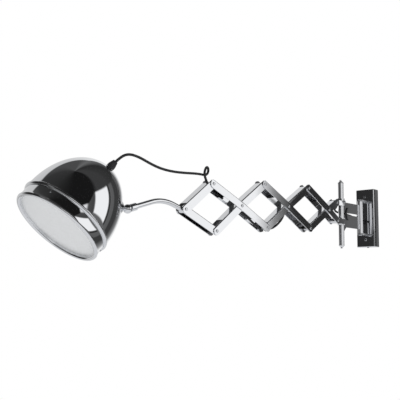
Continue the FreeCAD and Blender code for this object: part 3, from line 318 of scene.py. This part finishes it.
def material_for(slot):
    """Material of a slot. Each row holds its name, colour and metallic value, its lowest
    and highest roughness, the haze's clouds and marks per metre, and its relief."""
    if not MATERIALS:
        metal = bpy.context.scene.lamp_metal
        shine = metal.chrome_roughness
        finishes = {
            "chrome": ("Polished chrome", metal.chrome_colour, 1.0,
                       shine * 0.5, shine * 1.8, 14.0, 260.0, 0.0),
            # Painted shade: dark grey metal for the faces inside the link channels, standing in
            # for the shade in their hollows.
            "inside": ("Painted channel shade", (0.16, 0.16, 0.165), 1.0, 0.22, 0.40, 30.0, 500.0, 0.1),
            "pins": ("Bright steel", metal.steel_colour, 1.0, 0.14, 0.30, 60.0, 900.0, 0.1),
            "inner_steel": ("Zinc plate", (0.55, 0.56, 0.57), 1.0, 0.28, 0.48, 40.0, 700.0, 0.2),
            "black_plastic": ("Black plastic", (0.02, 0.02, 0.021), 0.0,
                              0.35, 0.55, 60.0, 1800.0, 0.2),
            "rubber": ("Black rubber", (0.016, 0.016, 0.017), 0.0,
                       0.5, 0.75, 60.0, 1500.0, 0.3),
            "frosted_glass": ("Frosted glass", (0.90, 0.905, 0.90), 0.0,
                              0.22, 0.34, 10.0, 1200.0, 0.05),
            "ceramic": ("Glazed ceramic", (0.85, 0.84, 0.80), 0.0, 0.12, 0.25, 30.0, 300.0, 0.0),
            "bulb_glass": ("Opal bulb", (0.92, 0.92, 0.89), 0.0, 0.08, 0.16, 20.0, 300.0, 0.0),
        }
        for key, finish in finishes.items():
            MATERIALS[key] = hazed(*finish)
    return MATERIALS[slot]


# ---------------------------------------------------------------- pieces
def dress(piece, node):
    """The piece takes the node's place, body, finish and material."""
    if piece.name not in bpy.context.scene.collection.objects:
        bpy.context.scene.collection.objects.link(piece)
    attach(piece, BODY_OF_NODE[node])
    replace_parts(piece, node)
    slot = SLOT_OF_NODE[node]
    piece.data.materials.clear()
    piece.data.materials.append(material_for(slot))


def smooth_copy(node, angle):
    """Copy of a CAD node with its doubles merged, its flat faces joined and its
    normals smooth across every edge flatter than the angle."""
    mesh = frame["nodes"][node].data.copy()
    mesh.name = node + "_finish"
    work = bmesh.new()
    work.from_mesh(mesh)
    bmesh.ops.remove_doubles(work, verts=work.verts, dist=MERGE_DISTANCE)
    bmesh.ops.dissolve_limit(work, angle_limit=FLAT_ANGLE,
                             verts=work.verts, edges=work.edges)
    work.to_mesh(mesh)
    work.free()
    mesh.shade_smooth()
    mesh.set_sharp_from_angle(angle=angle)
    return bpy.data.objects.new(mesh.name, mesh)


def grid_object(name, points, close_along):
    """Quad mesh over an array of points (stations, spokes, 3) that closes round its
    spokes and, where asked, joins its last station to its first."""
    stations, spokes = points.shape[:2]
    rows = stations if close_along else stations - 1
    here = np.arange(rows)[:, None]
    spoke = np.arange(spokes)[None, :]
    after = (here + 1) % stations
    beside = (spoke + 1) % spokes
    quads = np.stack([here * spokes + spoke, after * spokes + spoke,
                      after * spokes + beside, here * spokes + beside], axis=-1)
    mesh = bpy.data.meshes.new(name)
    mesh.from_pydata(points.reshape(-1, 3).tolist(), [], quads.reshape(-1, 4).tolist())
    mesh.update()
    return bpy.data.objects.new(name, mesh)


def spun(name, radii, depths, spokes):
    """Closed profile spun round the shade's axis:
    P(i, a) = centre + depth_i * axis + radius_i * (side * cos a + up * sin a)."""
    centre, axis, side, up = shade_frame()
    angle = np.linspace(0.0, 2.0 * np.pi, spokes, endpoint=False)
    ring = np.cos(angle)[:, None] * side + np.sin(angle)[:, None] * up
    points = centre + depths[:, None, None] * axis + radii[:, None, None] * ring[None, :, :]
    piece = grid_object(name, points, close_along=True)
    piece.data.shade_smooth()
    piece.data.set_sharp_from_angle(angle=bpy.context.scene.lamp_metal.smooth_angle)
    return piece


def shade_frame():
    """Rim centre, axis towards the crown, and two directions across it."""
    shade = bpy.context.scene.lamp_shade
    tilt, yaw = shade.axis_tilt, shade.axis_yaw
    axis = np.array([-math.sin(yaw) * math.cos(tilt),
                     math.cos(yaw) * math.cos(tilt), math.sin(tilt)])
    side = np.cross(axis, (0.0, 0.0, 1.0))
    side /= np.linalg.norm(side)
    up = np.cross(side, axis)
    glass = frame["nodes"]["diffuser_glass"].data
    spots = np.array([spot.co for spot in glass.vertices])
    middle = (spots.min(axis=0) + spots.max(axis=0)) / 2
    depth = shade.lip_depth + shade.seat_gap / 2 + shade.glass_thick / 2
    return middle - axis * depth, axis, side, up


class LAMP_OT_shade(bpy.types.Operator):
    """Spin the bowl, the front ring and the frosted glass"""
    bl_idname = "lamp.shade"
    bl_label = "Spin the shade"

    def execute(self, context):
        shade = context.scene.lamp_shade
        quarter = np.linspace(0.0, np.pi / 2, BOWL_STEPS)
        out_r = shade.bowl_radius * np.cos(quarter)
        out_z = shade.bezel_depth + shade.bowl_length * np.sin(quarter)
        back = quarter[::-1]
        in_r = (shade.bowl_radius - shade.bowl_wall) * np.cos(back)
        in_z = shade.bezel_depth + (shade.bowl_length - shade.bowl_wall) * np.sin(back)
        skirt = shade.band_radius - shade.ring_wall - shade.seat_gap
        foot = shade.bezel_depth - shade.skirt_depth
        radii = np.concatenate([[skirt - shade.bowl_wall, skirt, skirt], out_r, in_r])
        depths = np.concatenate([[foot, foot, shade.bezel_depth], out_z, in_z])
        bowl = spun("bowl_spun", np.maximum(radii, POLE_RADIUS), depths, shade.spokes)
        dress(bowl, "shade_bowl")

        lip_half = (shade.lip_radius - shade.glass_opening) / 2
        lip_centre = (shade.glass_opening + lip_half, shade.lip_depth / 2)
        turn = np.linspace(np.pi, 2.0 * np.pi, LIP_STEPS)
        lip_r = lip_centre[0] + lip_half * np.cos(turn)
        lip_z = lip_centre[1] + shade.lip_depth / 2 * np.sin(turn)
        bead_from = shade.bezel_depth - shade.bead_depth
        swell = np.linspace(0.0, np.pi, BEAD_STEPS)
        base = np.linspace(shade.band_radius, shade.bowl_radius, BEAD_STEPS)
        bead_height = shade.bead_radius - (shade.band_radius + shade.bowl_radius) / 2
        bead_r = base + bead_height * np.sin(swell)
        bead_z = bead_from + shade.bead_depth * (1.0 - np.cos(swell)) / 2
        inside = shade.band_radius - shade.ring_wall
        radii = np.concatenate([lip_r, [shade.band_radius, shade.band_radius], bead_r,
                                [inside, inside, shade.glass_opening]])
        depths = np.concatenate([lip_z, [shade.lip_depth, bead_from - shade.seat_gap], bead_z,
                                 [shade.bezel_depth, shade.lip_depth, shade.lip_depth]])
        dress(spun("front_ring", radii, depths, shade.spokes), "bezel_ring")

        near = shade.lip_depth + shade.seat_gap / 2
        edge = shade.glass_thick / 4
        far = shade.glass_thick
        radii = np.array([POLE_RADIUS, skirt - edge, skirt, skirt, skirt - edge, POLE_RADIUS])
        depths = np.array([0.0, 0.0, edge, far - edge, far, far])
        dress(spun("frosted_disc", radii, near + depths, shade.spokes), "diffuser_glass")
        return {"FINISHED"}


def swept_tube(name, line, slope, radius, bore):
    """Hollow tube in the YZ plane:
    P(i, a) = line_i + r * (cos a * X + sin a * normal_i), outside and then back inside."""
    angle = np.linspace(0.0, 2.0 * np.pi, TUBE_SPOKES, endpoint=False)
    over = np.column_stack([np.zeros(len(line)), -slope[:, 1], slope[:, 0]])
    path = np.column_stack([np.zeros(len(line)), line])
    ring = (np.cos(angle)[None, :, None] * np.array([1.0, 0.0, 0.0])
            + np.sin(angle)[None, :, None] * over[:, None, :])
    outside = path[:, None, :] + radius * ring
    inside = path[:, None, :] + bore * ring
    piece = grid_object(name, np.concatenate([outside, inside[::-1]]), close_along=True)
    piece.data.shade_smooth()
    piece.data.set_sharp_from_angle(angle=bpy.context.scene.lamp_metal.smooth_angle)
    return piece


class LAMP_OT_neck(bpy.types.Operator):
    """Draw the bent tube between the arm's tip and the ball"""
    bl_idname = "lamp.neck"
    bl_label = "Bend the gooseneck"

    def execute(self, context):
        neck = context.scene.lamp_neck
        tip = np.array(JOINT_AT["tip_pivot"][1:])
        ball = np.array(JOINT_AT["shade_turn"][1:])
        from_ball = np.array([math.cos(neck.lift_ball), math.sin(neck.lift_ball)])
        into_tip = np.array([math.cos(neck.lift_tip), -math.sin(neck.lift_tip)])
        across = np.column_stack([from_ball, into_tip])
        corner = ball + from_ball * np.linalg.solve(across, tip - ball)[0]
        bend = neck.lift_ball + neck.lift_tip
        trim = neck.bend_radius * math.tan(bend / 2)
        first, last = corner - from_ball * trim, corner + into_tip * trim
        down = np.array([math.sin(neck.lift_ball), -math.cos(neck.lift_ball)])
        centre = first + neck.bend_radius * down
        angle = np.linspace(neck.lift_ball, -neck.lift_tip, BEND_STEPS)
        curve = centre + neck.bend_radius * np.column_stack([-np.sin(angle), np.cos(angle)])
        start = ball + from_ball * neck.ball_reach
        end = tip - into_tip * neck.knuckle_reach
        lead = start + np.linspace(0.0, 1.0, LEAD_STEPS)[:-1, None] * (first - start)
        tail = last + np.linspace(0.0, 1.0, TAIL_STEPS)[1:, None] * (end - last)
        line = np.concatenate([lead, curve, tail])
        slope = np.gradient(line, axis=0)
        slope /= np.linalg.norm(slope, axis=1)[:, None]
        bore = neck.tube_radius - neck.tube_wall
        piece = swept_tube("gooseneck_drawn", line, slope, neck.tube_radius, bore)
        dress(piece, "gooseneck_tube")
        return {"FINISHED"}


# ---------------------------------------------------------------- cord
def cord_curve(name, points):
    """Open smooth spline over its control points, with no thickness."""
    curve = bpy.data.curves.new(name, "CURVE")
    curve.dimensions = "3D"
    curve.resolution_u = CORD_STEPS
    spline = curve.splines.new("NURBS")
    spline.points.add(len(points) - 1)
    for spot, place in zip(spline.points, points):
        spot.co = (*place, 1.0)
    spline.order_u = 3
    spline.use_endpoint_u = True
    return curve


def spline_line(curve):
    """Points along a curve that has no thickness yet."""
    plain = bpy.data.objects.new("line", curve)
    mesh = bpy.data.meshes.new_from_object(plain)
    line = np.array([spot.co for spot in mesh.vertices])
    bpy.data.objects.remove(plain)
    bpy.data.meshes.remove(mesh)
    return line


def lay_cord(name, node, points, bend=None):
    """Sheathed cord on its node's body, or, where a bend is given, left where it is laid on no
    body.
    bend is (second body, start, end); its second body, start and end are not used."""
    radius = bpy.context.scene.lamp_neck.cord_radius
    curve = cord_curve(name, points)
    line = spline_line(curve)
    curve.bevel_depth = radius
    curve.bevel_resolution = CORD_ROUNDING
    curve.use_fill_caps = True
    solid = bpy.data.objects.new(name, curve)
    mesh = bpy.data.meshes.new_from_object(solid)
    bpy.data.objects.remove(solid)
    mesh.name = name
    mesh.shade_smooth()
    mesh.set_sharp_from_angle(angle=CORD_CAP_ANGLE)
    piece = bpy.data.objects.new(name, mesh)
    bpy.context.scene.collection.objects.link(piece)
    body = BODY_OF_NODE[node]
    if bend:
        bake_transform(piece)
    else:
        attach(piece, body)
    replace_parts(piece, node)
    piece.data.materials.clear()
    piece.data.materials.append(material_for(SLOT_OF_NODE[node]))


def middle_of(a, b):
    """Point half way between two."""
    return tuple((p + q) / 2 for p, q in zip(a, b))


def beside_link(start, end, steps):
    """Points beside a link: distance from its start pivot, and height over its middle."""
    start, end = np.array(PIVOT_AT[start]), np.array(PIVOT_AT[end])
    along = (end - start) / np.linalg.norm(end - start)
    over = np.cross((1.0, 0.0, 0.0), along)
    return [tuple(start + along * far + over * high) for far, high in steps]


class LAMP_OT_cords(bpy.types.Operator):
    """Lay the black cord from the shade through the arm to the wall box"""
    bl_idname = "lamp.cords"
    bl_label = "Lay the cord"

    def execute(self, context):
        lamp, wall = LAMP_ROUTE, WALL_ROUTE
        turn_join = middle_of(lamp[3], lamp[4])
        neck_join = middle_of(lamp[5], lamp[6])
        hinge_join = middle_of(wall[6], wall[7])
        lay_cord("cord_at_shade", "lamp_cord_shade", (*lamp[:4], turn_join),
                 ("ball", lamp[1], turn_join))
        lay_cord("cord_at_ball", "lamp_cord_ball", (turn_join, *lamp[4:6], neck_join),
                 ("gooseneck", turn_join, neck_join))
        lay_cord("cord_at_arm", "lamp_cord_arm", (neck_join, *lamp[6:]),
                 ("tip_link_upper", lamp[6], lamp[9]))
        lay_cord("cord_at_plate", "plate_cord", (*wall[:7], hinge_join))
        lay_cord("cord_at_hinge", "hinge_cord", (hinge_join, *wall[7:]),
                 ("wall_box", wall[7], wall[9]))
        lay_cord("cord_under_web_1", "arm_cord_1", beside_link("C1", "T1", HIDDEN_RUN))
        lay_cord("cord_in_link_1", "arm_cord_1", beside_link("C1", "B2", LINK_RUN_1))
        lay_cord("cord_in_link_2", "arm_cord_2", beside_link("B2", "C2", LINK_RUN_2))
        lay_cord("cord_under_web_2", "arm_cord_2", beside_link(
            "C2", "T3", [(far, -high) for far, high in HIDDEN_RUN]))
        return {"FINISHED"}


def paint_channel_shade(piece):
    """Second material, a rougher metal whose dark grey is painted shade, on the faces inside a
    folded channel: those that look at another wall of the same piece, or stand between two of
    them."""
    mesh = piece.data
    mesh.materials.append(material_for("inside"))
    work = bmesh.new()
    work.from_mesh(mesh)
    tree = BVHTree.FromBMesh(work)
    sideways = Vector((1.0, 0.0, 0.0))
    for face in work.faces:
        spot = face.calc_center_median() + face.normal * SKIN
        ahead = tree.ray_cast(spot, face.normal, CHANNEL_REACH)[0]
        left = tree.ray_cast(spot, -sideways, CHANNEL_REACH)[0]
        right = tree.ray_cast(spot, sideways, CHANNEL_REACH)[0]
        walled = left is not None and right is not None
        if ahead is not None or walled:
            face.material_index = 1
    work.to_mesh(mesh)
    work.free()


class LAMP_OT_polish(bpy.types.Operator):
    """Give every CAD node a smooth polished copy with its own material"""
    bl_idname = "lamp.polish"
    bl_label = "Polish the metal"

    def execute(self, context):
        angle = context.scene.lamp_metal.smooth_angle
        done = {node for piece in bpy.data.objects for node in piece.get("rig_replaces", ())}
        for node in BODY_OF_NODE:
            if node not in done:
                piece = smooth_copy(node, angle)
                dress(piece, node)
                # Painted shade on the faces inside each link's channel.
                if "_link_" in node:
                    paint_channel_shade(piece)
        return {"FINISHED"}


# ---------------------------------------------------------------- stage
def limited(nodes, links, value, source, target=(0.0, 1.0)):
    """Value carried from one range to another, and held at the ends."""
    share = nodes.new("ShaderNodeMapRange")
    share.inputs["From Min"].default_value = source[0]
    share.inputs["From Max"].default_value = source[1]
    share.inputs["To Min"].default_value = target[0]
    share.inputs["To Max"].default_value = target[1]
    links.new(value, share.inputs["Value"])
    return share


def grey_ramp(nodes, links, value, low, high, stops):
    """Grey levels along a value: stops are (value, level)."""
    ramp = nodes.new("ShaderNodeValToRGB")
    elements = ramp.color_ramp.elements
    elements.remove(elements[-1])
    for n, (where, level) in enumerate(stops):
        share = (where - low) / (high - low)
        stop = elements[0] if n == 0 else elements.new(share)
        stop.position = share
        stop.color = (level, level, level, 1.0)
    links.new(limited(nodes, links, value, (low, high)).outputs[0], ramp.inputs["Fac"])
    return ramp.outputs["Color"]


def faded(nodes, links, value, start, end, below, above):
    """Colour that goes smoothly from one to another as the value passes from start to end."""
    share = limited(nodes, links, value, (start, end))
    share.interpolation_type = "SMOOTHSTEP"
    mix = nodes.new("ShaderNodeMix")
    mix.data_type = "RGBA"
    links.new(share.outputs[0], mix.inputs["Factor"])
    links.new(below, mix.inputs["A"])
    links.new(above, mix.inputs["B"])
    return mix.outputs["Result"]


def worked(nodes, links, operation, first, second=None):
    """Result of a sum on one value or two."""
    node = nodes.new("ShaderNodeMath")
    node.operation = operation
    links.new(first, node.inputs[0])
    if second is not None:
        links.new(second, node.inputs[1])
    return node.outputs[0]


# What the metal mirrors, by direction: (azimuth from +Y towards +X in degrees, level).
ROOM_LEVELS = (
    (-180, 0.16), (-162, 0.16), (-156, 0.03), (-112, 0.02), (-98, 0.62), (-60, 0.68),
    (-30, 0.92), (-17, 0.30), (-8, 0.16), (2, 0.05), (17, 0.05), (19, 0.12), (29.8, 0.13),
    (30.6, 0.03), (35.0, 0.03), (35.6, 1.05), (66, 1.05), (68, 0.06), (80, 0.08),
    (84, 0.85), (138, 0.85), (143, 0.15), (180, 0.16),
)
CEILING_LEVELS = (
    (-180, 0.03), (-110, 0.04), (-80, 0.08), (-50, 0.08), (-35, 0.16), (-12, 0.03),
    (20, 0.04), (34, 0.05), (62, 0.05), (70, 0.01), (120, 0.01), (180, 0.03),
)
TABLE_LEVELS = (
    (-180, 0.12), (-60, 0.35), (-18, 0.25), (-6, 0.06), (4, 0.02), (12, 0.05),
    (20, 0.15), (60, 0.15), (90, 0.10), (180, 0.12),
)
FLOOR_LEVELS = (
    (-180, 0.28), (-60, 0.45), (-30, 0.85), (20, 0.85), (50, 0.45), (110, 0.20), (180, 0.28),
)
# Heights in degrees above the horizon, between which one band fades into the next.
CEILING_EDGE = (31.0, 35.0)
CEILING_DROP = 14.0         # the side window is lower than the front one
CEILING_LIFT = 16.0         # and the backdrop is taller
TABLE_EDGE = (-1.5, 1.5)
FLOOR_EDGE = (-22.0, -17.0)
# The window's lower edge slants: shift of the table's edge across the window's span.
WINDOW_SPAN = (20.0, 66.0)
WINDOW_SILL = (19.2, -2.88)
# Azimuths in degrees between which the ceiling's lift ends and its drop begins.
BACKDROP_START = (-40.0, -26.0)
SIDE_START = (70.0, 80.0)


def studio_world():
    """White to the camera; a lit room to the metal; an even level to matt surfaces."""
    world = bpy.data.worlds.new("Studio")
    bpy.context.scene.world = world
    world.use_nodes = True
    nodes, links = world.node_tree.nodes, world.node_tree.links
    nodes.clear()
    out = nodes.new("ShaderNodeOutputWorld")
    seen = nodes.new("ShaderNodeBackground")
    seen.inputs["Color"].default_value = (1.0, 1.0, 1.0, 1.0)
    room = nodes.new("ShaderNodeBackground")
    plain = nodes.new("ShaderNodeBackground")
    plain.inputs["Color"].default_value = (0.85, 0.86, 0.88, 1.0)
    plain.inputs["Strength"].default_value = 0.9

    place = nodes.new("ShaderNodeTexCoord")
    split = nodes.new("ShaderNodeSeparateXYZ")
    links.new(place.outputs["Generated"], split.inputs[0])
    azimuth = worked(nodes, links, "DEGREES", worked(
        nodes, links, "ARCTAN2", split.outputs["X"], split.outputs["Y"]))
    elevation = worked(nodes, links, "DEGREES", worked(
        nodes, links, "ARCSINE", split.outputs["Z"]))
    walls, ceiling, floor, table = (
        grey_ramp(nodes, links, azimuth, -180, 180, levels)
        for levels in (ROOM_LEVELS, CEILING_LEVELS, FLOOR_LEVELS, TABLE_LEVELS))
    lift = limited(nodes, links, azimuth, BACKDROP_START, (-CEILING_LIFT, 0.0)).outputs[0]
    drop = limited(nodes, links, azimuth, SIDE_START, (0.0, CEILING_DROP)).outputs[0]
    slant = limited(nodes, links, azimuth, WINDOW_SPAN, WINDOW_SILL).outputs[0]
    over = worked(nodes, links, "ADD", elevation, worked(nodes, links, "ADD", lift, drop))
    upper = faded(nodes, links, over, *CEILING_EDGE, walls, ceiling)
    sill = worked(nodes, links, "ADD", elevation, slant)
    upper = faded(nodes, links, sill, *TABLE_EDGE, table, upper)
    whole = faded(nodes, links, elevation, *FLOOR_EDGE, floor, upper)
    links.new(whole, room.inputs["Color"])

    rays = nodes.new("ShaderNodeLightPath")
    glossy = nodes.new("ShaderNodeMixShader")
    links.new(rays.outputs["Is Glossy Ray"], glossy.inputs["Fac"])
    links.new(plain.outputs[0], glossy.inputs[1])
    links.new(room.outputs[0], glossy.inputs[2])
    direct = worked(nodes, links, "MAXIMUM",
                    rays.outputs["Is Camera Ray"], rays.outputs["Is Transmission Ray"])
    camera = nodes.new("ShaderNodeMixShader")
    links.new(direct, camera.inputs["Fac"])
    links.new(glossy.outputs[0], camera.inputs[1])
    links.new(seen.outputs[0], camera.inputs[2])
    links.new(camera.outputs[0], out.inputs["Surface"])


SENSOR_WIDTH = 36.0         # millimetres
FLOOR_REACH = 2.2           # half the floor's side
FLOOR_SHIFT = -0.5          # the floor's middle, out from the wall
KEY_POWER = 14.0
KEY_SIZE = 1.2
KEY_PLACE = (0.6, -1.9, 1.9)
KEY_TURN = (math.radians(40), 0.0, math.radians(20))


class LAMP_OT_stage(bpy.types.Operator):
    """Place the camera, the pale floor and the studio's light"""
    bl_idname = "lamp.stage"
    bl_label = "Set the stage"

    def execute(self, context):
        stage = context.scene.lamp_stage
        azimuth, pitch, roll = stage.camera_azimuth, stage.camera_pitch, stage.camera_roll
        eye = bpy.data.cameras.new("photo_camera")
        eye.lens = stage.lens
        eye.sensor_width = SENSOR_WIDTH
        eye.clip_end = 50.0
        camera = bpy.data.objects.new("photo_camera", eye)
        context.scene.collection.objects.link(camera)
        camera.location = stage.camera_place
        camera.rotation_mode = "QUATERNION"
        turn = Matrix.Rotation(azimuth, 4, "Z") @ Matrix.Rotation(math.pi / 2 + pitch, 4, "X")
        camera.rotation_quaternion = (turn @ Matrix.Rotation(roll, 4, "Z")).to_quaternion()
        context.scene.camera = camera

        mesh = bpy.data.meshes.new("floor")
        sides = ((-1, -1), (1, -1), (1, 1), (-1, 1))
        mesh.from_pydata([(x * FLOOR_REACH, y * FLOOR_REACH + FLOOR_SHIFT, -stage.floor_drop)
                          for x, y in sides], [], [(0, 1, 2, 3)])
        floor = bpy.data.objects.new("floor", mesh)
        context.scene.collection.objects.link(floor)
        material, _, _, shader = new_material("Pale floor")
        shader.inputs["Base Color"].default_value = (0.85, 0.85, 0.85, 1.0)
        shader.inputs["Roughness"].default_value = 0.8
        floor.data.materials.append(material)

        key = bpy.data.lights.new("key", "AREA")
        key.energy = KEY_POWER
        key.size = KEY_SIZE
        lamp = bpy.data.objects.new("key", key)
        lamp.location = KEY_PLACE
        lamp.rotation_euler = KEY_TURN
        lamp.visible_glossy = False
        context.scene.collection.objects.link(lamp)
        studio_world()
        context.scene.view_settings.view_transform = "Standard"
        return {"FINISHED"}


class LAMP_PT_panel(bpy.types.Panel):
    """Lists the steps that dress the lamp"""
    bl_idname = "LAMP_PT_panel"
    bl_label = "Accordion wall lamp"
    bl_space_type = "VIEW_3D"
    bl_region_type = "UI"
    bl_category = "Lamp"

    def draw(self, context):
        for step in OPERATORS:
            self.layout.operator(step.bl_idname)


OPERATORS = (LAMP_OT_stage, LAMP_OT_cords, LAMP_OT_shade, LAMP_OT_neck, LAMP_OT_polish)
SETTINGS = {
    "lamp_metal": LampMetalSettings,
    "lamp_shade": LampShadeSettings,
    "lamp_neck": LampNeckSettings,
    "lamp_stage": LampStageSettings,
}
CLASSES = (*SETTINGS.values(), *OPERATORS, LAMP_PT_panel)


def register():
    for cls in CLASSES:
        bpy.utils.register_class(cls)
    for name, group in SETTINGS.items():
        setattr(bpy.types.Scene, name, PointerProperty(type=group))


def unregister():
    for name in SETTINGS:
        delattr(bpy.types.Scene, name)
    for cls in reversed(CLASSES):
        bpy.utils.unregister_class(cls)


def main():
    """Make the pieces in order."""
    register()
    for step in OPERATORS:
        group, name = step.bl_idname.split(".")
        if getattr(getattr(bpy.ops, group), name)() != {"FINISHED"}:
            raise RuntimeError(step.bl_label + " did not finish")


if __name__ == "__main__":
    main()
